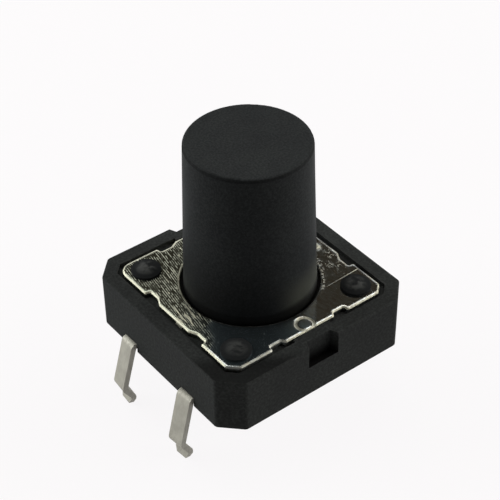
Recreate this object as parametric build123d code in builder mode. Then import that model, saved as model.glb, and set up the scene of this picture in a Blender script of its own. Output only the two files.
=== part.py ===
from build123d import *
import os
from math import cos, radians, sin

# Tactile push button switch with a long round stem, a staked cover plate and four kinked leads.
# Millimetres, +Z up. The origin is the middle of the base's underside, which sits on the circuit board.
# The leads leave the two X sides and hang below the seat. The stem is pressed down along -Z.

# Base: moulded housing
base_width = 12.0
base_height = 3.15
base_corner = 1.1
base_corner_round = 0.3
rim_wall = 0.82
rim_edge_break = 0.05
seat_depth = 0.25
seat_corner = 0.5
gate_width = 1.9
gate_flare = 0.2
gate_depth = 0.45
gate_floor = 1.85
gate_backing = 0.2
support_hole_radius = 0.4

# Cover: stamped plate on the base's seat
cover_gap = 0.2
cover_thickness = 0.3
cover_round_corner = 0.75
cover_cut_corner = 0.5
cut_corner_round = 0.3
cover_edge_break = 0.07
cover_land = 1.31
hole_edge_break = 0.05
notch_width = 0.7
notch_depth = 0.3
notch_pitch = 4.1
notch_ramp = 0.45
ring_side_ramp = 0.15
notch_round = 0.1
notch_mouth_break = 0.08
ramp_round = 0.12
bridge_inset = 0.07
ring_radius = 0.57
ring_width = 0.21
ring_depth = 0.05
ring_margin = 0.5

# Posts of the base, staked over the cover
post_margin = 1.1
post_radius = 0.5
post_clearance = 0.08
head_radius = 0.8
head_height = 0.27
head_edge = 0.12

# Stem: plunger held under the cover by its flange
stem_height = 12.0
stem_draft = 0.27
stem_edge_round = 0.18
stem_clearance = 0.18
flange_lip = 0.5
flange_thickness = 0.6
ear_width = 1.4
ear_reach = 0.4
guide_clearance = 0.12
boss_radius = 1.2
press_travel = 0.3
overtravel_gap = 0.15
rest_gap = 0.02

# Snap dome and the contact bumps that carry it
well_step = 0.69
dome_thickness = 0.1
dome_clearance = 0.2
bump_radius = 0.4
bump_top_radius = 0.2
bump_height = 0.15
bump_inset = 0.3
contact_angle = 45

# Lead frames: stamped strip, moulded into the base, with formed leads
frame_lift = 0.2
frame_thickness = 0.3
lead_width = 1.0
lead_pitch = 5.0
lead_fan_angle = 5
arm_run = 1.6
lead_stand_off = 0.1
leg_drop = 2.75
leg_splay = 0.72
kink_drop = 0.75
kink_return = 0.49
tip_drop = 0.5
tip_flare = 0.12
tip_taper = 0.15
tip_taper_length = 0.34
shoulder_inner_bend = 0.03
kink_inner_bend = 0.15
tip_inner_bend = 0.13
pocket_gap = 0.06
pocket_depth = 0.3
bar_wall = 0.25
tongue_width = 1.2
centre_pad_radius = 0.9

# Levels, from the seat up
frame_top = frame_lift + frame_thickness
frame_middle = frame_lift + frame_thickness / 2
dome_seat = frame_top + bump_height + rest_gap
dome_top = dome_seat + press_travel + dome_thickness
seat_level = base_height - seat_depth
cover_top = seat_level + cover_thickness
flange_top = seat_level - rest_gap
flange_bottom = flange_top - flange_thickness
flange_floor = flange_bottom - press_travel - overtravel_gap
boss_end = dome_top + rest_gap

# Places in plan
base_half = base_width / 2
seat_half = base_half - rim_wall
cover_half = seat_half - cover_gap
cover_hole_radius = cover_half - cover_land
stem_foot_radius = cover_hole_radius - stem_clearance
stem_top_radius = stem_foot_radius - stem_draft
flange_radius = cover_hole_radius + flange_lip
flange_well_radius = flange_radius + guide_clearance
dome_well_radius = flange_well_radius - well_step
dome_radius = dome_well_radius - dome_clearance
notch_middle = notch_pitch / 2
notch_outer_end = notch_middle + notch_width / 2
notch_inner_end = notch_middle - notch_width / 2
post_place = cover_half - post_margin
lead_place = lead_pitch / 2
contact_x = (dome_radius - bump_inset) * cos(radians(contact_angle))
contact_y = (dome_radius - bump_inset) * sin(radians(contact_angle))
arm_end = base_half - arm_run
arm_end_place = lead_place - arm_run * sin(radians(lead_fan_angle))
outer_bar_place = contact_y
centre_bar_place = -(dome_well_radius + bar_wall + lead_width / 2)

os.makedirs("parts", exist_ok=True)


def frame_plan(bar_place, arm_place):
    """Flat pattern of a lead frame inside the base: a bar across it, linked to the two arms' ends."""
    with BuildSketch() as plan:
        with Locations((0, bar_place)):
            Rectangle(2 * arm_end + lead_width, lead_width)
        with Locations((-arm_end, (bar_place + arm_place) / 2), (arm_end, (bar_place + arm_place) / 2)):
            Rectangle(lead_width, abs(bar_place - arm_place) + lead_width)
    return plan.sketch


def formed_lead(x_side, y_side):
    """Strip that leaves the base's side, turns down, splays out and kinks to snap into the board."""
    outward = Vector(x_side * cos(radians(lead_fan_angle)), y_side * sin(radians(lead_fan_angle)), 0)
    across = Vector(outward.Y, -outward.X, 0)
    wall_point = Vector(x_side * base_half, y_side * lead_place, frame_middle)
    inner_bends = (shoulder_inner_bend, kink_inner_bend, tip_inner_bend)
    with BuildPart() as lead:
        with BuildLine(Plane(wall_point, x_dir=outward, z_dir=across)):
            FilletPolyline(
                (-arm_run, 0),
                (lead_stand_off, 0),
                (lead_stand_off + leg_splay, -leg_drop),
                (lead_stand_off + leg_splay - kink_return, -leg_drop - kink_drop),
                (lead_stand_off + leg_splay - kink_return + tip_flare, -leg_drop - kink_drop - tip_drop),
                radius=[inner_bend + frame_thickness / 2 for inner_bend in inner_bends],
            )
        with BuildSketch(Plane(wall_point - outward * arm_run, x_dir=across, z_dir=outward)):
            Rectangle(lead_width, frame_thickness)
        sweep()
        tip = lead.faces().sort_by(Axis.Z)[0]
        for corner in tip.edges().group_by(SortBy.LENGTH)[0]:
            chamfer(corner, length=tip_taper, length2=tip_taper_length, reference=tip)
    return lead.part


def along_side(corner):
    """Distance of a corner of the cover from the middle of its side."""
    return min(abs(corner.X), abs(corner.Y))


def inset(corner):
    """Distance of a corner of the cover from its straight side, inwards."""
    return cover_half - max(abs(corner.X), abs(corner.Y))


def is_ramp_end(corner):
    return along_side(corner) < notch_middle


def is_notch_root(corner):
    return notch_middle < along_side(corner) < notch_outer_end + notch_round and inset(corner) > bridge_inset


def is_notch_mouth(corner):
    return notch_middle < along_side(corner) < notch_outer_end + notch_round and inset(corner) < bridge_inset


outer_leads = [formed_lead(x_side, 1) for x_side in (-1, 1)]
centre_leads = [formed_lead(x_side, -1) for x_side in (-1, 1)]

# Terminal under the dome's rim
with BuildPart() as outer_terminal:
    with BuildSketch(Plane.XY.offset(frame_lift)):
        add(frame_plan(outer_bar_place, arm_end_place))
    extrude(amount=frame_thickness)
    add(outer_leads)
    with Locations((-contact_x, contact_y, frame_top), (contact_x, contact_y, frame_top)):
        Cone(bump_radius, bump_top_radius, bump_height, align=(Align.CENTER, Align.CENTER, Align.MIN))

# Terminal under the dome's middle: its bar passes outside the dome, and a tongue reaches in
with BuildPart() as centre_terminal:
    with BuildSketch(Plane.XY.offset(frame_lift)):
        add(frame_plan(centre_bar_place, -arm_end_place))
        with Locations((0, centre_bar_place / 2)):
            Rectangle(tongue_width, -centre_bar_place)
        Circle(centre_pad_radius)
    extrude(amount=frame_thickness)
    add(centre_leads)
    with Locations((0, 0, frame_top)):
        Cone(bump_radius, bump_top_radius, bump_height, align=(Align.CENTER, Align.CENTER, Align.MIN))

# Post with its staked head, for one corner of the base
with BuildPart() as staked_post:
    with BuildSketch(Plane.XZ):
        with BuildLine():
            TangentArc((0, cover_top + head_height), (head_radius, cover_top + head_edge), tangent=(1, 0))
            Polyline(
                (head_radius, cover_top + head_edge),
                (head_radius, cover_top),
                (post_radius, cover_top),
                (post_radius, seat_level),
                (0, seat_level),
                (0, cover_top + head_height),
            )
        make_face()
    revolve(axis=Axis.Z)

# Base
with BuildPart() as base:
    with BuildSketch() as outline:
        Rectangle(base_width, base_width)
        chamfer(outline.vertices(), base_corner)
        fillet(outline.vertices(), base_corner_round)
    extrude(amount=base_height)
    chamfer(base.faces().sort_by(Axis.Z)[-1].edges(), rim_edge_break)
    # Seat for the cover
    with BuildSketch(Plane.XY.offset(seat_level)) as seat:
        Rectangle(2 * seat_half, 2 * seat_half)
        chamfer(seat.vertices(), seat_corner)
    extrude(amount=seat_depth, mode=Mode.SUBTRACT)
    # The rim is set inwards behind the recesses in the Y sides
    with BuildSketch(Plane.XY.offset(seat_level)):
        with GridLocations(0, 2 * seat_half - gate_backing, 1, 2):
            Rectangle(gate_width + 2 * gate_backing, gate_backing)
    extrude(amount=seat_depth)
    # Well for the flange, with slots for its ears
    with BuildSketch(Plane.XY.offset(flange_floor)):
        Circle(flange_well_radius)
        Rectangle(2 * (flange_well_radius + ear_reach), ear_width + 2 * guide_clearance)
    extrude(amount=seat_level - flange_floor, mode=Mode.SUBTRACT)
    # Well for the dome, down to the lead frames
    with BuildSketch(Plane.XY.offset(frame_top)):
        Circle(dome_well_radius)
    extrude(amount=flange_floor - frame_top, mode=Mode.SUBTRACT)
    # Blind recess in the middle of each Y side, open at the rim and flared towards the side
    with BuildSketch(Plane.XY.offset(gate_floor)):
        with PolarLocations(base_half, 2, start_angle=90):
            Polygon(
                (-gate_depth, gate_flare - gate_width / 2),
                (0, -gate_width / 2),
                (gate_depth, -gate_width / 2),
                (gate_depth, gate_width / 2),
                (0, gate_width / 2),
                (-gate_depth, gate_width / 2 - gate_flare),
                align=None,
            )
    extrude(amount=base_height - gate_floor, mode=Mode.SUBTRACT)
    # The plastic is moulded round the lead frames
    add(outer_terminal.part, mode=Mode.SUBTRACT)
    add(centre_terminal.part, mode=Mode.SUBTRACT)
    # Pocket round each lead where it leaves the side
    with BuildSketch():
        with GridLocations(base_width, lead_pitch, 2, 2):
            Rectangle(2 * pocket_depth, lead_width + 2 * pocket_gap)
    extrude(amount=frame_top + pocket_gap, mode=Mode.SUBTRACT)
    # Holes left by the pins that held the lead frames in the mould
    with BuildSketch():
        with GridLocations(2 * arm_end, 2 * arm_end_place, 2, 2):
            Circle(support_hole_radius)
    extrude(amount=frame_lift, mode=Mode.SUBTRACT)
    # Pads for the side of the dome's rim away from the outer terminal
    with Locations((-contact_x, -contact_y, frame_top), (contact_x, -contact_y, frame_top)):
        Cone(bump_radius, bump_top_radius, bump_height, align=(Align.CENTER, Align.CENTER, Align.MIN))
    with GridLocations(2 * post_place, 2 * post_place, 2, 2):
        add(staked_post.part)

# Snap dome
with BuildPart() as snap_dome:
    with BuildSketch(Plane.XZ):
        with BuildLine():
            under = TangentArc((0, dome_seat + press_travel), (dome_radius, dome_seat), tangent=(1, 0))
            over = TangentArc((0, dome_top), (dome_radius, dome_seat + dome_thickness), tangent=(1, 0))
            Line(under @ 0, over @ 0)
            Line(under @ 1, over @ 1)
        make_face()
    revolve(axis=Axis.Z)

# Stem
with BuildPart() as stem:
    with BuildSketch(Plane.XZ):
        with BuildLine():
            Polyline(
                (0, boss_end),
                (boss_radius, boss_end),
                (boss_radius, flange_bottom),
                (flange_radius, flange_bottom),
                (flange_radius, flange_top),
                (stem_foot_radius, flange_top),
                (stem_foot_radius, cover_top),
                (stem_top_radius, stem_height),
                (0, stem_height),
                close=True,
            )
        make_face()
    revolve(axis=Axis.Z)
    fillet(stem.faces().sort_by(Axis.Z)[-1].edges(), stem_edge_round)
    with BuildSketch(Plane.XY.offset(flange_bottom)):
        Rectangle(2 * (flange_radius + ear_reach), ear_width)
    extrude(amount=flange_thickness)

# Cover
with BuildPart() as cover:
    with BuildSketch(Plane.XY.offset(seat_level)) as blank:
        Rectangle(2 * cover_half, 2 * cover_half)
        # The corners on the ring's side are cut, and the other two are round
        fillet(blank.vertices().group_by(Axis.Y)[-1], cover_round_corner)
        chamfer(blank.vertices().group_by(Axis.Y)[0], cover_cut_corner)
        fillet(blank.vertices().filter_by_position(Axis.Y, -base_half, 0), cut_corner_round)
        # Each side has a bridge between two relief notches, which ramp up to it
        for side_angle, ramp in ((0, notch_ramp), (90, notch_ramp), (180, notch_ramp), (270, ring_side_ramp)):
            with PolarLocations(cover_half, 1, start_angle=side_angle):
                Rectangle(2 * bridge_inset, notch_pitch, mode=Mode.SUBTRACT)
                for end in (-1, 1):
                    Polygon(
                        (notch_depth, end * notch_outer_end),
                        (-notch_depth, end * notch_outer_end),
                        (-notch_depth, end * notch_inner_end),
                        (-bridge_inset, end * (notch_inner_end - ramp)),
                        (notch_depth, end * (notch_inner_end - ramp)),
                        align=None,
                        mode=Mode.SUBTRACT,
                    )
        fillet(blank.vertices().filter_by(is_ramp_end), ramp_round)
        fillet(blank.vertices().filter_by(is_notch_root), notch_round)
        chamfer(blank.vertices().filter_by(is_notch_mouth), notch_mouth_break)
        Circle(cover_hole_radius, mode=Mode.SUBTRACT)
        with GridLocations(2 * post_place, 2 * post_place, 2, 2):
            Circle(post_radius + post_clearance, mode=Mode.SUBTRACT)
    extrude(amount=cover_thickness)
    # The stamping rolled its upper edges over
    chamfer(cover.faces().sort_by(Axis.Z)[-1].outer_wire().edges(), cover_edge_break)
    stem_hole = cover.faces().sort_by(Axis.Z)[-1].inner_wires().sort_by(SortBy.LENGTH)[-1]
    chamfer(stem_hole.edges(), hole_edge_break)
    # Coined ring near the middle of one side
    with BuildSketch(Plane.XZ.offset(cover_half - ring_margin)):
        with BuildLine():
            Polyline(
                (ring_radius, cover_top),
                (ring_radius - ring_width / 2, cover_top - ring_depth),
                (ring_radius - ring_width, cover_top),
                close=True,
            )
        make_face()
    revolve(axis=Axis((0, ring_margin - cover_half, 0), (0, 0, 1)), mode=Mode.SUBTRACT)

base.part.label = "base"
outer_terminal.part.label = "outer_terminal"
centre_terminal.part.label = "centre_terminal"
snap_dome.part.label = "snap_dome"
stem.part.label = "stem"
cover.part.label = "cover"

export_step(base.part, "parts/base.step")
export_step(outer_terminal.part, "parts/outer_terminal.step")
export_step(centre_terminal.part, "parts/centre_terminal.step")
export_step(snap_dome.part, "parts/snap_dome.step")
export_step(stem.part, "parts/stem.step")
export_step(cover.part, "parts/cover.step")
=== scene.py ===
"""Looks of the tactile push button switch: studio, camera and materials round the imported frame.

Everything is built in metres, in the frame of the model: the base sits on z = 0 and the stem points up.
Places and sizes on the object are written in millimetres, because it is about a centimetre wide.
A range is a pair: a mark begins to change at its first value and is done at its second.
A lean is such a range of the rounded normal's Z, which is 1 on the flat and less towards an edge.
A share is how far a mark covers what lies under it, from 0 to 1.
"""
from functools import reduce
from math import cos, pi, radians, sin

import bmesh
import bpy
from mathutils import Matrix, Vector


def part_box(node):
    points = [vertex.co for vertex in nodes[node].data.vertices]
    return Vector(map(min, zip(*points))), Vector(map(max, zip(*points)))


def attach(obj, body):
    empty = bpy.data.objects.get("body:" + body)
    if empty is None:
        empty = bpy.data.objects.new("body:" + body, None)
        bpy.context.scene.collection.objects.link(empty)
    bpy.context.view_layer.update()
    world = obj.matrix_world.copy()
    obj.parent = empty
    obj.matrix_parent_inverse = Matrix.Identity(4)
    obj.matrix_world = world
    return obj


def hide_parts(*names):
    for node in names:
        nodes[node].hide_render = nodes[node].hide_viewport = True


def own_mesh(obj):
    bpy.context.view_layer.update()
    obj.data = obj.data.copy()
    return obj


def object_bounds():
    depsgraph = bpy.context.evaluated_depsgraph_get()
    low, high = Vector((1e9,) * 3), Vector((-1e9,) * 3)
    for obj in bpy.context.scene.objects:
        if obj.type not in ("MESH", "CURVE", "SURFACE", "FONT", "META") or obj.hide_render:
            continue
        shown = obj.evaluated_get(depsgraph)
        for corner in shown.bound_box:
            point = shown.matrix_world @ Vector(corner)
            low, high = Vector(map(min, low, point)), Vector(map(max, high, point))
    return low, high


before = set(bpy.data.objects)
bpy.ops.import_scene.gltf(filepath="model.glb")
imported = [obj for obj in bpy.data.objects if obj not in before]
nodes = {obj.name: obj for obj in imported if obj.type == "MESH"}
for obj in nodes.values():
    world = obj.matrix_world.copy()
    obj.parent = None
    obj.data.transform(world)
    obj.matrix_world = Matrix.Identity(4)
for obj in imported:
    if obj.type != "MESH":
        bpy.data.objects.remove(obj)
cad_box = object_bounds()
MM = 0.001
BASE_HALF_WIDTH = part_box("base")[1].y / MM
COVER_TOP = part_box("cover")[1].z / MM
STEM_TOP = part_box("stem")[1].z / MM

# Camera of the photograph, with its angles in degrees
CAMERA_AZIMUTH = -37.202
CAMERA_ELEVATION = 39.985
CAMERA_ROLL = -0.848
CAMERA_LENS = 109.26
SENSOR_WIDTH = 36.0
CAMERA_PLACE = Vector((-35.99, -47.43, 55.04)) * MM
CAMERA_NEAREST = MM
CAMERA_FARTHEST = 10

# Studio, in metres
FLOOR_RADIUS = 0.55
FLOOR_STEPS = 96
COVE_RADIUS = 0.12
COVE_STEPS = 12
WALL_HEIGHT = 0.30
ROOM_COLOUR = (0.033, 0.0275, 0.0195, 1)

# Softboxes: turn from the camera's side and elevation in degrees, distance, size, level and colour
SOFTBOXES = {
    "softbox_back": (180, 66, 0.50, (0.50, 0.28), 0.45, (1.0, 0.99, 0.95)),
    "softbox_left": (-108, 22, 0.48, (0.50, 0.30), 1.03, (0.98, 1.0, 1.0)),
    "softbox_right": (104, 22, 0.48, (0.50, 0.30), 1.02, (1.0, 0.99, 0.97)),
}

# Colours, linear
PAPER_GREY = (0.38, 0.375, 0.377, 1)
PAPER_SEEN = (0.06, 0.0593, 0.0595, 1)
PAPER_GLOW = (1.0, 0.985, 0.992, 1)
# Black of the painted shade: in the recesses, at the stem's foot and top edge, and the stem's shadow on the
# rim
PAINTED_SHADE_BLACK = (0.003, 0.003, 0.003, 1)
BASE_BLACK = (0.022, 0.0235, 0.0230, 1)
BASE_GREY = (0.029, 0.031, 0.030, 1)
WORN_GREY = (0.065, 0.066, 0.063, 1)
HEAD_DARK = (0.0130, 0.0140, 0.0145, 1)
# Paler mottle on the heads' crowns, partly a painted highlight
HEAD_PALE = (0.062, 0.064, 0.062, 1)
STEM_BLACK = (0.0174, 0.0190, 0.0198, 1)
STEM_GREY = (0.0222, 0.0242, 0.0245, 1)
# Painted bounce light from the cover on the stem
STEM_BOUNCE_LIGHT = (0.042, 0.044, 0.037, 1)
METAL_BRIGHT = (0.68, 0.74, 0.76, 1)
METAL_STAINED = (0.50, 0.46, 0.39, 1)
# Painted bluish sheen over the stem's mirrored image on the cover
METAL_FRONT_SHEEN = (0.60, 0.74, 0.80, 1)
METAL_RUBBED = (0.40, 0.43, 0.36, 1)
SCUFF_GREY = (0.54, 0.56, 0.45, 1)
# Cream of the sheared edges: matte metal carrying a painted highlight
METAL_EDGE = (0.62, 0.61, 0.47, 1)
METAL_EDGE_HIGHLIGHT = (0.92, 0.91, 0.74, 1)
METAL_EDGE_DULL = (0.30, 0.29, 0.22, 1)
METAL_EDGE_DARK = (0.05, 0.047, 0.037, 1)
TIN_PALE = (0.40, 0.39, 0.335, 1)
TIN_GREY = (0.34, 0.33, 0.285, 1)
TIN_SIDE = (0.31, 0.30, 0.265, 1)

# Settings of nodes, where the wave's rate is in radians for each unit of length
BEVEL_SAMPLES = 8
SHARP_EDGE = (0.995, 0.85)
WAVE_RATE = 20
WAVE_DETAIL = 2.0
WAVE_DETAIL_SCALE = 1.5
DIAGONAL = (1, 1)

# Points of a mesh that are nearer than this are joined
WELD_GAP = 0.001

# Moulded plastic
PLASTIC_CLOUD = dict(scale=0.55, detail=4)
CLOUD_RANGE = (0.3, 0.7)
GRAIN_RANGE = (0.35, 0.70)
GRAIN_DARK = 0.80
GRAIN_LIGHT = 1.30
GRAIN_HEIGHT = 0.006
PLASTIC_ROUGHNESS = (0.58, 0.68)
PLASTIC_SPECULAR = 0.04

# Base: edge wear, painted shade low in the recesses and the stem's painted shadow on the rim at the front
# corner
BASE_GRAIN = dict(scale=7.0, detail=2, rough=0.7)
WEAR_RADIUS = 0.09
WEAR_PATCHES = dict(scale=2.2, detail=5)
WEAR_RANGE = (0.44, 0.66)
WEAR_SHARES = (0.05, 0.65)
# Recesses in the base's Y sides, with painted shade low inside them
RECESS_HALF_WIDTH = 0.95
RECESS_DEPTH = 0.45
RECESS_FLOOR = 1.85
RECESS_FADE = 1.0
RECESS_SHARES = (1.0, 0.15)
RECESS_SLACK = 0.01
# Painted shadow of the stem on the rim at the front corner
STEM_SHADOW_SLANT = (0.8, 1.2)
STEM_SHADOW_RANGE = (-7.7, -9.3)
STEM_SHADOW_SHARE = 0.75
FACING_UP = (0.6, 0.95)

# Heads of the base's posts, with heights above the cover: a paler mottled crown, partly a painted
# highlight, dimmed on the front head by the stem's painted shadow
HEAD_START = (-0.02, 0)
HEAD_CROWN = (0.16, 0.27)
HEAD_ROUGHNESS = 0.85
FRONT_HEAD_RANGE = (-6.3, -7.0)
FRONT_HEAD_SHARE = 0.6
LUMPS = dict(scale=1.7, detail=3, rough=0.5, distortion=1.0)
LUMP_RANGE = (0.35, 0.62)
LUMP_HEIGHT = 0.04

# Stem, with heights above the cover and sides counted to the camera's right
STEM_GRAIN = dict(scale=9.0, detail=2, rough=0.7)
STEM_SIDE = (0.8, -0.6)
# Painted shade darkening the stem towards its foot, weaker on its right side, and a darker painted contact
# shade just above the cover
FOOT_BAND = (0, 4.8)
FOOT_SHARE = 0.72
FOOT_SIDE = (0.6, 2.4)
FOOT_SIDE_SHARE = 0.15
CONTACT_SHADE_BAND = (0.3, 0.8)
CONTACT_SHADE_SHARE = 0.92
# Painted bounce light from the cover, low on the stem's right side
BOUNCE_LIGHT_BAND = (1.0, 2.6)
BOUNCE_LIGHT_SIDE = (1.0, 2.6)

# Painted shade: a dark line along the stem's rounded top edge, in shares of the edge's radius below the top
STEM_EDGE = 0.18
TOP_LINE_START_SHARES = (1.3, 0.7)
TOP_LINE_END_SHARES = (0.3, 0.1)
TOP_LINE_SHARE = 0.5

# Cover: the sheet's own finish
STREAK_TURN = 9
STREAK_PERIOD = 0.115
STREAK_WAVER = 1.5
STREAK_STRETCH = (1, 0.35, 1)
STREAK_HEIGHT = 0.002
STREAK_STRENGTHS = (0.3, 1.0)
STAINS = dict(detail=5, rough=0.65)
STAIN_STRETCH = (5.2, 2.4, 1)
STAIN_RANGE = (0.35, 0.7)
# Painted bluish sheen towards the front corner, over the stem's mirrored image
FRONT_SHEEN_RANGE = (-3.5, -5.5)
FRONT_SHEEN_LEAN = (0.98, 0.999)
SHEET_METALLIC = 0.994
FRONT_SHEEN_METALLIC = 0.982
MATTE_METALLIC = 0.4
SHEET_ROUGHNESS = 0.09
RUBBED_ROUGHNESS = 0.11
MATTE_ROUGHNESS = 0.45

# Cover: rubbed zone with scuffs, dashes and specks
RUB_SLANT = (-0.22, 0.20)
RUB_BLOTCHES = dict(scale=0.9, detail=3)
RUB_BLOTCH_WEIGHT = 0.8
RUB_RANGE = (0.65, 1.05)
SCUFF_GAP = 0.32
SCUFF_LEAN = (0.975, 0.998)
SCUFF_RANGE = (0.50, 0.95)
SCUFF_SHARE = 0.95
STROKES = dict(detail=2, rough=0.5)
STROKE_STRETCH = (9.0, 3.0, 1)
STROKE_RANGE = (0.36, 0.56)
PRESSURE = dict(scale=1.7, detail=2)
PRESSURE_RANGE = (0.35, 0.65)
PRESSURE_SHARES = (0.5, 1.0)
DASHES = dict(detail=0)
DASH_STRETCH = (7.0, 1.3, 1)
DASH_CENTRE = Vector((-4.3, -0.4, 0))
DASH_REACH = 1.4
DASH_CORE = 0.3 * DASH_REACH
DASH_LIFT = 0.15
DASH_RANGE = (0.74, 0.80)
SPECKS = dict(scale=7.5, detail=2, rough=0.6)
SPECK_RANGE = (0.66, 0.74)
SPECK_SHARE = 0.3

# Cover: sheared edges, with a painted highlight along them
EDGE_ROUND = 0.15
EDGE_LEAN = (0.985, 0.88)
EDGE_FOOT_LEAN = (0.15, 0.45)
EDGE_BEADS = dict(scale=3.6, detail=3)
EDGE_BEAD_RANGE = (0.36, 0.58)
LEFT_EDGE_X = (-3.9, -4.3)
LEFT_EDGE_SHARE = 0.8
FAR_EDGE_Y = (4.0, 4.2)
FAR_EDGE_START_X = (-4.6, -4.2)
FAR_EDGE_END_X = (0.5, -0.5)
FAR_EDGE_LEAN = (0.97, 0.91)

# Cover: parts of the edge that are darker
DARK_LEAN = (0.998, 0.96)
DARK_RIGHT_X = (4.4, 4.6)
DARK_RIGHT_Y = (-3.9, -2.9)
DARK_RIGHT_SHARE = 0.9
TORN_NOTCH_TOP_Y = (-0.8, -0.5)
TORN_NOTCH_FOOT_Y = (-2.5, -2.7)
CUT_CORNER = -9.46
DARK_CORNER = (CUT_CORNER + 0.18, CUT_CORNER + 0.08)
DARK_CORNER_SHARE = 0.8
DARK_FRONT_Y = (-4.4, -4.6)
DARK_FRONT_X = (-1.2, -1.7)
DARK_FRONT_SHARE = 0.3

# Cover: the stem's hole, with a painted highlight on its lip towards -X
HOLE_CENTRE = Vector((0, 0, 0))
HOLE_RADIUS = 3.67
HOLE_EDGE_RANGE = (HOLE_RADIUS + 0.1, HOLE_RADIUS + 0.3)
HOLE_EDGE_SHARE = 0.35
LIP_RADIUS = HOLE_RADIUS + 0.06
LIP_WIDTH = (0.07, 0.02)
LIP_X = (-1.5, -2.5)
LIP_Y = (-0.4, 0.6)
LIP_SHARE = 0.8

# Cover: the coined ring, with a painted highlight, and the scratch
RING_CENTRE = Vector((0, -4.48, 0))
RING_RADIUS = 0.465
RING_HALF_WIDTH = 0.105
RING_CORE = 0.6 * RING_HALF_WIDTH
RING_SHARE = 0.75
SCRATCH_START = Vector((2.57, -2.99))
SCRATCH_END = Vector((4.93, -2.91))
SCRATCH_WIDTH = 0.032
SCRATCH_CORE = 0.3 * SCRATCH_WIDTH
SCRATCH_SHARES = (0.3, 0.9)
SCRATCH_FADE_IN = 0.2
SCRATCH_FADE_OUT = 0.1

# Cover: torn skin round a notch, and flecks along the hole beside it
BURR_CENTRE = Vector((4.35, -1.15, 0))
BURR_STRETCH = 1.7
BURR_REACH = 1.9
BURR_CORE = 0.4 * BURR_REACH
SKIN = dict(detail=2, rough=0.5, distortion=0.7)
SKIN_STRETCH = (5.0, 2.1, 1)
FOLD_LEVEL = 0.5
FOLD_WIDTH = (0.035, 0.010)
FOLD_BREAKS = dict(scale=2.6, detail=2)
FOLD_BREAK_RANGE = (0.48, 0.62)
FOLD_SHARE = 0.62
CRUMBS = dict(scale=6.0, detail=3, rough=0.6)
TEAR_CENTRE = Vector((4.3, -0.15, 0))
TEAR_STRETCH = 1.3
TEAR_REACH = 0.5
TEAR_CORE = 0.2 * TEAR_REACH
TEAR_CRUMBS = (0.40, 0.55)
FLECK_BAND = (HOLE_RADIUS + 0.34, HOLE_RADIUS + 0.16)
FLECK_X = (2.0, 2.6)
FLECK_Y = (-0.4, -0.8)
FLECK_CRUMBS = (0.46, 0.60)
FLECK_SHARE = 0.55
RAGGED_LEAN = (0.99, 0.95)
RAGGED_X = (4.0, 4.2)
RAGGED_CRUMBS = (0.44, 0.58)
RAGGED_SHARE = 0.7

# Leads
DRAWN = dict(detail=4, rough=0.6)
DRAWN_STRETCH = (9, 9, 1.2)
DRAWN_RANGE = (0.3, 0.7)
DRAWN_HEIGHT = 0.004
DULL_PATCHES = dict(scale=1.6, detail=4)
DULL_RANGE = (0.35, 0.7)
SIDE_FACING = (0.55, 0.9)
SIDE_SHARE = 0.75
LEAD_ROUND = 0.03
LEAD_METALLIC = 0.6
LEAD_ROUGHNESS = (0.55, 0.7)

# Snap dome
DOME_THICKNESS = 0.1
DOME_RINGS = 10
DOME_STEPS = 64
DOME_STREAKS = dict(detail=3)
DOME_STRETCH = (30, 1.5, 1)
DOME_RANGE = (0.3, 0.7)
DOME_ROUGHNESS = (0.22, 0.36)
DOME_STREAK_HEIGHT = 0.004

# Paper
PAPER_FIBRE = dict(scale=0.05, detail=3)
PAPER_FIBRE_SHADE = 0.97
PAPER_GLOW_STRENGTH = 0.91
PAPER_ROUGHNESS = 0.9
PAPER_SPECULAR = 0.05


def set_up_camera():
    """Camera at the photograph's viewing angle, with its slight roll."""
    azimuth, elevation, roll = (radians(a) for a in (CAMERA_AZIMUTH, CAMERA_ELEVATION, CAMERA_ROLL))
    back = Vector((sin(azimuth) * cos(elevation), -cos(azimuth) * cos(elevation), sin(elevation)))
    level_right = Vector((0, 0, 1)).cross(back).normalized()
    level_up = back.cross(level_right)
    right = cos(roll) * level_right + sin(roll) * level_up
    up = cos(roll) * level_up - sin(roll) * level_right
    data = bpy.data.cameras.new("photo_camera")
    data.lens = CAMERA_LENS
    data.sensor_width = SENSOR_WIDTH
    data.clip_start = CAMERA_NEAREST
    data.clip_end = CAMERA_FARTHEST
    camera = bpy.data.objects.new("photo_camera", data)
    turn = Matrix((right, up, back)).transposed().to_4x4()
    camera.matrix_world = Matrix.Translation(CAMERA_PLACE) @ turn
    bpy.context.scene.collection.objects.link(camera)
    bpy.context.scene.camera = camera


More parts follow.
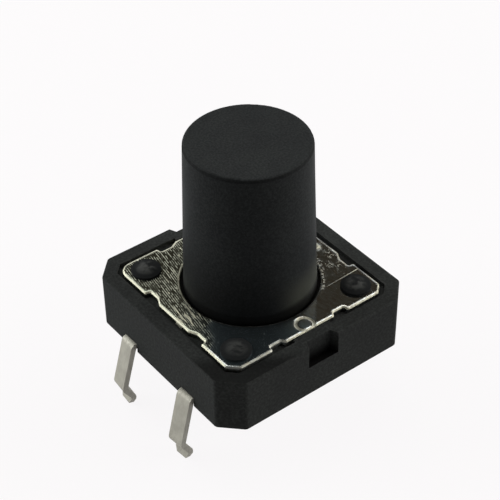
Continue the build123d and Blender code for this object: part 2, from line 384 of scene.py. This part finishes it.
class Graph:
    """A material's node tree, with short calls for the nodes used here."""

    def __init__(self, name):
        self.material = bpy.data.materials.new(name)
        self.material.use_nodes = True
        self.tree = self.material.node_tree
        self.shader = self.tree.nodes["Principled BSDF"]
        self.coords = self.add("ShaderNodeTexCoord")

    def add(self, kind, inputs=None, **settings):
        """New node. Inputs are numbers, colours or sockets to link."""
        node = self.tree.nodes.new(kind)
        for key, value in settings.items():
            setattr(node, key, value)
        for key, value in (inputs or {}).items():
            self.put(node.inputs[key], value)
        return node

    def put(self, socket, value):
        """Links a socket to the input, or sets it to a number, vector or colour."""
        if isinstance(value, bpy.types.NodeSocket):
            self.tree.links.new(value, socket)
        else:
            socket.default_value = value

    def millimetres(self):
        """Place in the object's frame, in millimetres."""
        inputs = {0: self.coords.outputs["Object"], "Scale": 1 / MM}
        return self.add("ShaderNodeVectorMath", inputs, operation="SCALE").outputs[0]

    def stretched(self, place, scale, turn=0):
        """Place with its axes scaled, after a turn about Z in degrees."""
        inputs = {"Vector": place, "Angle": radians(turn)}
        turned = self.add("ShaderNodeVectorRotate", inputs, rotation_type="Z_AXIS").outputs[0]
        return self.add("ShaderNodeMapping", {"Vector": turned, "Scale": scale}).outputs[0]

    def noise(self, place, scale=1.0, detail=3.0, rough=0.55, distortion=0.0):
        """Cloudy pattern between 0 and 1."""
        inputs = {
            "Vector": place,
            "Scale": scale,
            "Detail": detail,
            "Roughness": rough,
            "Distortion": distortion,
        }
        return self.add("ShaderNodeTexNoise", inputs).outputs["Fac"]

    def lines(self, place, period, waver):
        """Even lines across X, between 0 and 1, with a period in the units of the place."""
        inputs = {
            "Vector": place,
            "Scale": 2 * pi / (WAVE_RATE * period),
            "Distortion": waver,
            "Detail": WAVE_DETAIL,
            "Detail Scale": WAVE_DETAIL_SCALE,
        }
        return self.add("ShaderNodeTexWave", inputs).outputs["Fac"]

    def math(self, operation, first, second=0.0, clamp=False):
        """Result of one operation on numbers or sockets."""
        node = self.add("ShaderNodeMath", {0: first, 1: second}, operation=operation, use_clamp=clamp)
        return node.outputs[0]

    def product(self, *factors):
        """All the factors multiplied."""
        return reduce(lambda first, second: self.math("MULTIPLY", first, second), factors)

    def largest(self, *values):
        """The largest of the values."""
        return reduce(lambda first, second: self.math("MAXIMUM", first, second), values)

    def total(self, *terms):
        """Sum of weighted sockets, each given as (weight, socket)."""
        weighted = [self.math("MULTIPLY", socket, weight) for weight, socket in terms]
        return reduce(lambda first, second: self.math("ADD", first, second), weighted)

    def slant(self, axis, weights):
        """Place along a slanting line in plan, from the weights of X and Y."""
        return self.total((weights[0], axis["X"]), (weights[1], axis["Y"]))

    def step(self, value, start, end, at_start=0.0, at_end=1.0):
        """Smooth change from at_start to at_end as value goes from start to end."""
        inputs = {
            "Value": value,
            "From Min": start,
            "From Max": end,
            "To Min": at_start,
            "To Max": at_end,
        }
        return self.add("ShaderNodeMapRange", inputs, interpolation_type="SMOOTHSTEP").outputs[0]

    def mix(self, factor, first, second):
        """Colour between first and second, on the colour sockets of a mix node."""
        node = self.add("ShaderNodeMix", data_type="RGBA")
        self.put(node.inputs[0], factor)
        self.put(node.inputs[6], first)
        self.put(node.inputs[7], second)
        return node.outputs[2]

    def blend(self, factor, first, second):
        """Number between first and second, on the number sockets of a mix node."""
        node = self.add("ShaderNodeMix", data_type="FLOAT")
        self.put(node.inputs[0], factor)
        self.put(node.inputs[2], first)
        self.put(node.inputs[3], second)
        return node.outputs[0]

    def axes(self, vector):
        """The X, Y and Z sockets of a vector."""
        return self.add("ShaderNodeSeparateXYZ", {0: vector}).outputs

    def rounded(self, radius):
        """Normal with edges rounded over the radius, in metres."""
        return self.add("ShaderNodeBevel", {"Radius": radius}, samples=BEVEL_SAMPLES).outputs[0]

    def edges(self, radius):
        """1 on sharp edges, falling to 0 over about the radius, in metres."""
        geometry = self.add("ShaderNodeNewGeometry")
        inputs = {0: self.rounded(radius), 1: geometry.outputs["True Normal"]}
        dot = self.add("ShaderNodeVectorMath", inputs, operation="DOT_PRODUCT")
        return self.step(dot.outputs["Value"], *SHARP_EDGE)

    def bump(self, height, distance, strength=1.0, under=None):
        """Normal from a height between 0 and 1. Distance is the height of 1, in metres."""
        inputs = {"Height": height, "Distance": distance, "Strength": strength}
        node = self.add("ShaderNodeBump", inputs)
        if under is not None:
            self.put(node.inputs["Normal"], under)
        return node.outputs[0]

    def finish(self, **sockets):
        """Sets the shader's sockets by name, with underscores for spaces."""
        for key, value in sockets.items():
            self.put(self.shader.inputs[key.replace("_", " ")], value)
        return self.material


def shade_of(colour, factor):
    """The colour made lighter or darker by a factor."""
    return [factor * c for c in colour[:3]] + [1]


def flat_distance(g, place, centre, stretch=1.0):
    """Distance from a centre in plan, with X stretched."""
    offset = g.add("ShaderNodeVectorMath", {0: place, 1: centre}, operation="SUBTRACT").outputs[0]
    flat = g.add("ShaderNodeVectorMath", {0: offset, 1: (stretch, 1, 0)}, operation="MULTIPLY").outputs[0]
    return g.add("ShaderNodeVectorMath", {0: flat}, operation="LENGTH").outputs["Value"]


def off_circle(g, place, centre, radius):
    """Distance in plan from the line of a circle."""
    return g.math("ABSOLUTE", g.math("SUBTRACT", flat_distance(g, place, centre), radius))


def moulded_plastic(g, place, colour, pale, grain):
    """Colour, roughness and normal of a matte black moulding with a fine spark-eroded grain."""
    cloud = g.noise(place, **PLASTIC_CLOUD)
    speck = g.noise(place, **grain)
    patch = g.step(cloud, *CLOUD_RANGE)
    dark = g.mix(patch, shade_of(colour, GRAIN_DARK), shade_of(pale, GRAIN_DARK))
    light = g.mix(patch, shade_of(colour, GRAIN_LIGHT), shade_of(pale, GRAIN_LIGHT))
    tone = g.mix(g.step(speck, *GRAIN_RANGE), dark, light)
    rough = g.step(cloud, *CLOUD_RANGE, *PLASTIC_ROUGHNESS)
    return tone, rough, g.bump(speck, GRAIN_HEIGHT * MM)


def recess_shade_mask(g, axis):
    """Painted shade, up to 1 low inside the recesses in the base's two Y sides and weaker higher up."""
    across = g.math("ABSOLUTE", axis["X"])
    depth = g.math("SUBTRACT", BASE_HALF_WIDTH, g.math("ABSOLUTE", axis["Y"]))
    return g.product(
        g.math("LESS_THAN", across, RECESS_HALF_WIDTH + RECESS_SLACK),
        g.math("LESS_THAN", depth, RECESS_DEPTH + RECESS_SLACK),
        g.math("GREATER_THAN", axis["Z"], RECESS_FLOOR - RECESS_SLACK),
        g.step(axis["Z"], RECESS_FLOOR, RECESS_FLOOR + RECESS_FADE, *RECESS_SHARES),
    )


def stem_shadow_mask(g, axis):
    """Up to 1 on the base's upward faces at the front corner, where the stem's shadow is painted."""
    corner = g.step(g.slant(axis, STEM_SHADOW_SLANT), *STEM_SHADOW_RANGE, at_end=STEM_SHADOW_SHARE)
    level = g.step(g.axes(g.coords.outputs["Normal"])["Z"], *FACING_UP)
    return g.product(corner, level)


def base_plastic():
    """Base: glass-filled moulding with wear at its edges, lumpy heads where the posts were melted over,
    painted shade low in its recesses, the stem's painted shadow at the front corner and painted highlights
    on the heads' crowns.
    """
    g = Graph("base_plastic")
    place = g.millimetres()
    axis = g.axes(place)
    tone, rough, normal = moulded_plastic(g, place, BASE_BLACK, BASE_GREY, BASE_GRAIN)
    worn_patches = g.step(g.noise(place, **WEAR_PATCHES), *WEAR_RANGE, *WEAR_SHARES)
    tone = g.mix(g.product(g.edges(WEAR_RADIUS * MM), worn_patches), tone, WORN_GREY)
    # Painted shadow of the stem on the rim at the front corner
    tone = g.mix(stem_shadow_mask(g, axis), tone, PAINTED_SHADE_BLACK)
    # Painted shade low in the recesses
    tone = g.mix(recess_shade_mask(g, axis), tone, PAINTED_SHADE_BLACK)
    above = g.math("SUBTRACT", axis["Z"], COVER_TOP)
    head = g.step(above, *HEAD_START)
    # Crowns paler than the sides, partly a painted highlight over real mottle; less so on the front head,
    # under the stem's painted shadow
    front = g.step(g.slant(axis, DIAGONAL), *FRONT_HEAD_RANGE, at_start=1, at_end=FRONT_HEAD_SHARE)
    crown = g.product(g.step(above, *HEAD_CROWN), front)
    lumps = g.noise(place, **LUMPS)
    pale = g.product(crown, g.step(lumps, *LUMP_RANGE))
    tone = g.mix(head, tone, g.mix(pale, HEAD_DARK, HEAD_PALE))
    rough = g.blend(head, rough, HEAD_ROUGHNESS)
    lumpy = g.bump(g.product(lumps, crown), LUMP_HEIGHT * MM, under=normal)
    return g.finish(Base_Color=tone, Roughness=rough, Normal=lumpy, Specular_IOR_Level=PLASTIC_SPECULAR)


def stem_plastic():
    """Stem: finer moulding than the base, with painted bounce light low on one side, painted shade at its
    foot and a painted dark line along its top edge.
    """
    g = Graph("stem_plastic")
    place = g.millimetres()
    axis = g.axes(place)
    tone, rough, normal = moulded_plastic(g, place, STEM_BLACK, STEM_GREY, STEM_GRAIN)
    above = g.math("SUBTRACT", axis["Z"], COVER_TOP)
    side = g.slant(axis, STEM_SIDE)
    # Painted bounce light from the cover, low on the right side
    rub_wear_and_bounce_light = g.product(g.step(side, *BOUNCE_LIGHT_SIDE), g.step(above, *BOUNCE_LIGHT_BAND, at_start=1, at_end=0))
    # Painted shade darkening the stem towards its foot
    foot = g.product(
        g.step(above, *FOOT_BAND, at_start=FOOT_SHARE, at_end=0),
        g.step(side, *FOOT_SIDE, at_start=1, at_end=FOOT_SIDE_SHARE),
    )
    # Painted contact shade just above the cover
    contact_shade = g.step(above, *CONTACT_SHADE_BAND, at_start=CONTACT_SHADE_SHARE, at_end=0)
    below_top = g.math("DIVIDE", g.math("SUBTRACT", STEM_TOP, axis["Z"]), STEM_EDGE)
    # Painted shade along the rounded top edge
    top_line = g.product(
        g.step(below_top, *TOP_LINE_START_SHARES, at_end=TOP_LINE_SHARE),
        g.step(below_top, *TOP_LINE_END_SHARES, at_start=1, at_end=0),
    )
    tone = g.mix(rub_wear_and_bounce_light, tone, STEM_BOUNCE_LIGHT)
    tone = g.mix(g.largest(foot, contact_shade, top_line), tone, PAINTED_SHADE_BLACK)
    return g.finish(Base_Color=tone, Roughness=rough, Normal=normal, Specular_IOR_Level=PLASTIC_SPECULAR)


def rubbed_mask(g, place, axis):
    """1 towards -X and +Y, with a blotchy border, where the sheet was dulled by rubbing."""
    blotch = g.noise(place, **RUB_BLOTCHES)
    slant = g.slant(axis, RUB_SLANT)
    return g.step(g.math("ADD", slant, g.product(blotch, RUB_BLOTCH_WEIGHT)), *RUB_RANGE)


def scuff_mask(g, place, rolled, broad):
    """Broken pale strokes along the rolling marks, clear of the cover's edges."""
    strokes = g.noise(g.stretched(place, STROKE_STRETCH, STREAK_TURN), **STROKES)
    return g.product(
        g.step(rolled, *SCUFF_RANGE, at_end=SCUFF_SHARE),
        g.step(strokes, *STROKE_RANGE),
        g.step(g.noise(place, **PRESSURE), *PRESSURE_RANGE, *PRESSURE_SHARES),
        g.step(broad, *SCUFF_LEAN),
    )


def dash_mask(g, place):
    """Single bright dashes along the rolling marks, most of them round the dash centre."""
    dashes = g.noise(g.stretched(place, DASH_STRETCH, STREAK_TURN), **DASHES)
    patch = g.step(flat_distance(g, place, DASH_CENTRE), DASH_REACH, DASH_CORE, at_end=DASH_LIFT)
    return g.step(g.math("ADD", dashes, patch), *DASH_RANGE)


def far_edge_mask(g, axis):
    """1 along the +Y edge, left of its middle, where the painted highlight is brightest."""
    return g.product(
        g.step(axis["Y"], *FAR_EDGE_Y),
        g.step(axis["X"], *FAR_EDGE_START_X),
        g.step(axis["X"], *FAR_EDGE_END_X),
    )


def edge_highlight_mask(g, place, lean, broad, far):
    """1 on the cover's sheared edges, where their highlight is painted, wider on the far edge and weaker
    round the stem's hole.
    """
    edge = g.product(g.step(lean, *EDGE_LEAN), g.step(lean, *EDGE_FOOT_LEAN))
    edge = g.largest(edge, g.product(far, g.step(broad, *FAR_EDGE_LEAN)))
    from_hole = flat_distance(g, place, HOLE_CENTRE)
    return g.product(edge, g.step(from_hole, *HOLE_EDGE_RANGE, at_start=HOLE_EDGE_SHARE))


def dark_edge_mask(g, axis, lean):
    """Up to 1 on the parts of the edge that are darker: towards +X, the cut corner and beside it."""
    intact = g.largest(g.step(axis["Y"], *TORN_NOTCH_TOP_Y), g.step(axis["Y"], *TORN_NOTCH_FOOT_Y))
    right = g.product(
        g.step(axis["X"], *DARK_RIGHT_X),
        g.step(axis["Y"], *DARK_RIGHT_Y, at_end=DARK_RIGHT_SHARE),
        intact,
    )
    corner = g.step(g.slant(axis, DIAGONAL), *DARK_CORNER, at_end=DARK_CORNER_SHARE)
    front = g.product(
        g.step(axis["Y"], *DARK_FRONT_Y),
        g.step(axis["X"], *DARK_FRONT_X, at_end=DARK_FRONT_SHARE),
    )
    return g.product(g.step(lean, *DARK_LEAN), g.largest(right, corner, front))


def lip_mask(g, place, axis):
    """Up to 1 along the lip of the stem's hole towards -X, where a highlight is painted."""
    return g.product(
        g.step(off_circle(g, place, HOLE_CENTRE, LIP_RADIUS), *LIP_WIDTH),
        g.step(axis["X"], *LIP_X, at_end=LIP_SHARE),
        g.step(axis["Y"], *LIP_Y),
    )


def ring_mask(g, place):
    """Up to 1 on the small coined ring, where a highlight is painted."""
    off_ring = off_circle(g, place, RING_CENTRE, RING_RADIUS)
    return g.step(off_ring, RING_HALF_WIDTH, RING_CORE, at_end=RING_SHARE)


def scratch_mask(g, axis):
    """Up to 1 along the one long scratch, which grows stronger towards its end."""
    along = (SCRATCH_END - SCRATCH_START).normalized()
    length = (SCRATCH_END - SCRATCH_START).length
    x = g.math("SUBTRACT", axis["X"], SCRATCH_START.x)
    y = g.math("SUBTRACT", axis["Y"], SCRATCH_START.y)
    run = g.total((along.x, x), (along.y, y))
    offset = g.math("ABSOLUTE", g.total((-along.y, x), (along.x, y)))
    return g.product(
        g.step(run, 0, length, *SCRATCH_SHARES),
        g.step(run, 0, SCRATCH_FADE_IN),
        g.step(run, length, length - SCRATCH_FADE_OUT),
        g.step(offset, SCRATCH_WIDTH, SCRATCH_CORE),
    )


def burr_mask(g, place, axis, broad):
    """Up to 1 on the torn skin round the relief notch on the +X side and on flecks along the hole there."""
    near = g.step(flat_distance(g, place, BURR_CENTRE, BURR_STRETCH), BURR_REACH, BURR_CORE)
    skin = g.noise(g.stretched(place, SKIN_STRETCH, STREAK_TURN), **SKIN)
    folds = g.step(g.math("ABSOLUTE", g.math("SUBTRACT", skin, FOLD_LEVEL)), *FOLD_WIDTH)
    broken = g.step(g.noise(place, **FOLD_BREAKS), *FOLD_BREAK_RANGE, at_end=FOLD_SHARE)
    web = g.product(folds, broken, near)
    crumbs = g.noise(place, **CRUMBS)
    tear = g.product(
        g.step(flat_distance(g, place, TEAR_CENTRE, TEAR_STRETCH), TEAR_REACH, TEAR_CORE),
        g.step(crumbs, *TEAR_CRUMBS),
    )
    flecks = g.product(
        g.step(flat_distance(g, place, HOLE_CENTRE), *FLECK_BAND),
        g.step(axis["X"], *FLECK_X),
        g.step(axis["Y"], *FLECK_Y),
        g.step(crumbs, *FLECK_CRUMBS, at_end=FLECK_SHARE),
    )
    ragged = g.product(
        g.step(broad, *RAGGED_LEAN),
        g.step(axis["X"], *RAGGED_X),
        g.step(crumbs, *RAGGED_CRUMBS, at_end=RAGGED_SHARE),
        near,
    )
    return g.largest(web, tear, flecks, ragged)


def sheared_tone(g, place, axis, far):
    """Colour of the bared metal, which on the sheared edges is a painted highlight: beaded, more even along
    the left edge and brightest along the far one.
    """
    beads = g.largest(
        g.step(g.noise(place, **EDGE_BEADS), *EDGE_BEAD_RANGE),
        g.step(axis["X"], *LEFT_EDGE_X, at_end=LEFT_EDGE_SHARE),
        far,
    )
    return g.mix(far, g.mix(beads, METAL_EDGE_DULL, METAL_EDGE), METAL_EDGE_HIGHLIGHT)


def cover_metal():
    """Cover: plated sheet with fine rolling marks along Y, scuffed towards -X, with matte sheared edges
    carrying a painted highlight, and a painted bluish sheen towards the front corner.
    """
    g = Graph("cover_metal")
    place = g.millimetres()
    axis = g.axes(place)
    edge_normal = g.rounded(EDGE_ROUND * MM)
    lean = g.axes(edge_normal)["Z"]
    broad = g.axes(g.rounded(SCUFF_GAP * MM))["Z"]
    rolled = g.lines(g.stretched(place, STREAK_STRETCH, STREAK_TURN), STREAK_PERIOD, STREAK_WAVER)
    rub_wear_and_bounce_light = rubbed_mask(g, place, axis)
    scuffs = g.product(scuff_mask(g, place, rolled, broad), rub_wear_and_bounce_light)
    # Painted bluish sheen towards the front corner
    front_sheen = g.product(g.step(g.slant(axis, DIAGONAL), *FRONT_SHEEN_RANGE), g.step(lean, *FRONT_SHEEN_LEAN))
    far = far_edge_mask(g, axis)
    dark_edge = dark_edge_mask(g, axis, lean)
    # Real marks, with the painted highlight on the sheared edges, the coined ring and the hole's lip
    marks_and_highlights = g.largest(
        g.math("SUBTRACT", edge_highlight_mask(g, place, lean, broad, far), dark_edge, clamp=True),
        ring_mask(g, place),
        scratch_mask(g, axis),
        burr_mask(g, place, axis, broad),
        lip_mask(g, place, axis),
        g.product(dash_mask(g, place), rub_wear_and_bounce_light),
        g.step(g.noise(place, **SPECKS), *SPECK_RANGE, at_end=SPECK_SHARE),
    )
    stain = g.step(g.noise(g.stretched(place, STAIN_STRETCH), **STAINS), *STAIN_RANGE)
    tone = g.mix(front_sheen, g.mix(stain, METAL_BRIGHT, METAL_STAINED), METAL_FRONT_SHEEN)
    tone = g.mix(rub_wear_and_bounce_light, tone, METAL_RUBBED)
    tone = g.mix(scuffs, tone, SCUFF_GREY)
    tone = g.mix(marks_and_highlights, tone, sheared_tone(g, place, axis, far))
    tone = g.mix(dark_edge, tone, METAL_EDGE_DARK)
    matte = g.largest(marks_and_highlights, scuffs, dark_edge)
    metallic = g.blend(matte, g.blend(front_sheen, SHEET_METALLIC, FRONT_SHEEN_METALLIC), MATTE_METALLIC)
    rough = g.blend(matte, g.blend(rub_wear_and_bounce_light, SHEET_ROUGHNESS, RUBBED_ROUGHNESS), MATTE_ROUGHNESS)
    strength = g.blend(rub_wear_and_bounce_light, *STREAK_STRENGTHS)
    normal = g.bump(rolled, STREAK_HEIGHT * MM, strength=strength, under=edge_normal)
    return g.finish(Base_Color=tone, Metallic=metallic, Roughness=rough, Normal=normal)


def lead_metal():
    """Leads: matte tin plate, with darker sheared sides."""
    g = Graph("lead_metal")
    place = g.millimetres()
    drawn = g.noise(g.stretched(place, DRAWN_STRETCH), **DRAWN)
    facing = g.math("ABSOLUTE", g.axes(g.coords.outputs["Normal"])["Y"])
    tone = g.mix(g.step(g.noise(place, **DULL_PATCHES), *DULL_RANGE), TIN_PALE, TIN_GREY)
    tone = g.mix(g.step(facing, *SIDE_FACING, at_end=SIDE_SHARE), tone, TIN_SIDE)
    rough = g.step(drawn, *DRAWN_RANGE, *LEAD_ROUGHNESS)
    normal = g.bump(drawn, DRAWN_HEIGHT * MM, under=g.rounded(LEAD_ROUND * MM))
    return g.finish(Base_Color=tone, Metallic=LEAD_METALLIC, Roughness=rough, Normal=normal)


def dome_metal():
    """Snap dome: bright spring strip with fine rolling marks."""
    g = Graph("dome_metal")
    rolled = g.noise(g.stretched(g.millimetres(), DOME_STRETCH), **DOME_STREAKS)
    tone = g.mix(rolled, METAL_BRIGHT, METAL_STAINED)
    rough = g.step(rolled, *DOME_RANGE, *DOME_ROUGHNESS)
    normal = g.bump(rolled, DOME_STREAK_HEIGHT * MM)
    return g.finish(Base_Color=tone, Metallic=1.0, Roughness=rough, Normal=normal)


def studio_paper():
    """Pale paper. What is seen of it, straight or mirrored, glows, so that its shadows stay faint."""
    g = Graph("studio_paper")
    fibre = g.noise(g.millimetres(), **PAPER_FIBRE)
    rays = g.add("ShaderNodeLightPath").outputs
    seen = g.largest(rays["Is Camera Ray"], rays["Is Glossy Ray"], rays["Is Transmission Ray"])
    lit = g.mix(fibre, PAPER_GREY, shade_of(PAPER_GREY, PAPER_FIBRE_SHADE))
    return g.finish(
        Base_Color=g.mix(seen, lit, PAPER_SEEN),
        Roughness=PAPER_ROUGHNESS,
        Specular_IOR_Level=PAPER_SPECULAR,
        Emission_Color=PAPER_GLOW,
        Emission_Strength=g.product(seen, PAPER_GLOW_STRENGTH),
    )


def revolved(name, outline, steps):
    """Smooth mesh object made by turning an outline of points about Z."""
    mesh = bmesh.new()
    points = [mesh.verts.new(p) for p in outline]
    lines = [mesh.edges.new(pair) for pair in zip(points, points[1:])]
    bmesh.ops.spin(mesh, geom=points + lines, axis=(0, 0, 1), cent=(0, 0, 0), steps=steps, angle=2 * pi)
    bmesh.ops.remove_doubles(mesh, verts=mesh.verts, dist=WELD_GAP * MM)
    bmesh.ops.recalc_face_normals(mesh, faces=mesh.faces)
    data = bpy.data.meshes.new(name)
    mesh.to_mesh(data)
    mesh.free()
    data.shade_smooth()
    piece = bpy.data.objects.new(name, data)
    bpy.context.scene.collection.objects.link(piece)
    return piece


def build_floor(level):
    """Round floor that curves up into a low wall, so every view has a pale background."""
    turns = [i / COVE_STEPS * pi / 2 for i in range(COVE_STEPS + 1)]
    cove = FLOOR_RADIUS - COVE_RADIUS
    outline = [Vector((0, 0, level))]
    outline += [Vector((cove + COVE_RADIUS * sin(t), 0, level + COVE_RADIUS * (1 - cos(t)))) for t in turns]
    outline.append(Vector((FLOOR_RADIUS, 0, level + WALL_HEIGHT)))
    floor = revolved("studio_floor", outline, FLOOR_STEPS)
    floor.data.materials.append(studio_paper())


def build_dome(material):
    """Snap dome as a thin curved strip on the housing, in place of the CAD part."""
    low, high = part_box("snap_dome")
    thickness = DOME_THICKNESS * MM
    rise = high.z - low.z - thickness
    curve = (high.x ** 2 + rise ** 2) / (2 * rise)
    places = [i / DOME_RINGS * high.x for i in range(DOME_RINGS + 1)]
    drops = [curve - (curve ** 2 - x ** 2) ** 0.5 for x in places]
    over = [Vector((x, 0, high.z - drop)) for x, drop in zip(places, drops)]
    under = [Vector((x, 0, high.z - thickness - drop)) for x, drop in zip(places, drops)]
    dome = revolved("snap_dome_strip", over + under[::-1], DOME_STEPS)
    dome.data.materials.append(material)
    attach(dome, "housing")
    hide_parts("snap_dome")
    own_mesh(dome)


def add_softbox(name, turn, elevation, distance, size, level, colour):
    """Area lamp aimed at the object.

    Turn is counted from the camera's side, in degrees, positive to its right.
    At level 1 a surface that faces the lamp is as bright as its own colour.
    """
    azimuth = radians(CAMERA_AZIMUTH + turn)
    height = radians(elevation)
    place = Vector((sin(azimuth) * cos(height), -cos(azimuth) * cos(height), sin(height))) * distance
    lamp = bpy.data.lights.new(name, "AREA")
    lamp.shape = "RECTANGLE"
    lamp.size, lamp.size_y = size
    lamp.energy = level * (pi * distance) ** 2
    lamp.color = colour
    softbox = bpy.data.objects.new(name, lamp)
    softbox.matrix_world = Matrix.Translation(place) @ place.to_track_quat("Z", "Y").to_matrix().to_4x4()
    bpy.context.scene.collection.objects.link(softbox)


def light_studio():
    """Soft light from both sides and from above and behind, in a dim warm room."""
    world = bpy.data.worlds.new("dim_room")
    world.use_nodes = True
    world.node_tree.nodes["Background"].inputs["Color"].default_value = ROOM_COLOUR
    bpy.context.scene.world = world
    for name, settings in SOFTBOXES.items():
        add_softbox(name, *settings)


set_up_camera()
light_studio()
build_floor(cad_box[0].z)
lead = lead_metal()
materials = {
    "base": base_plastic(),
    "stem": stem_plastic(),
    "cover": cover_metal(),
    "outer_terminal": lead,
    "centre_terminal": lead,
}
for node, material in materials.items():
    nodes[node].data.materials.clear()
    nodes[node].data.materials.append(material)
build_dome(dome_metal())

bpy.context.scene.view_settings.view_transform = "Standard"
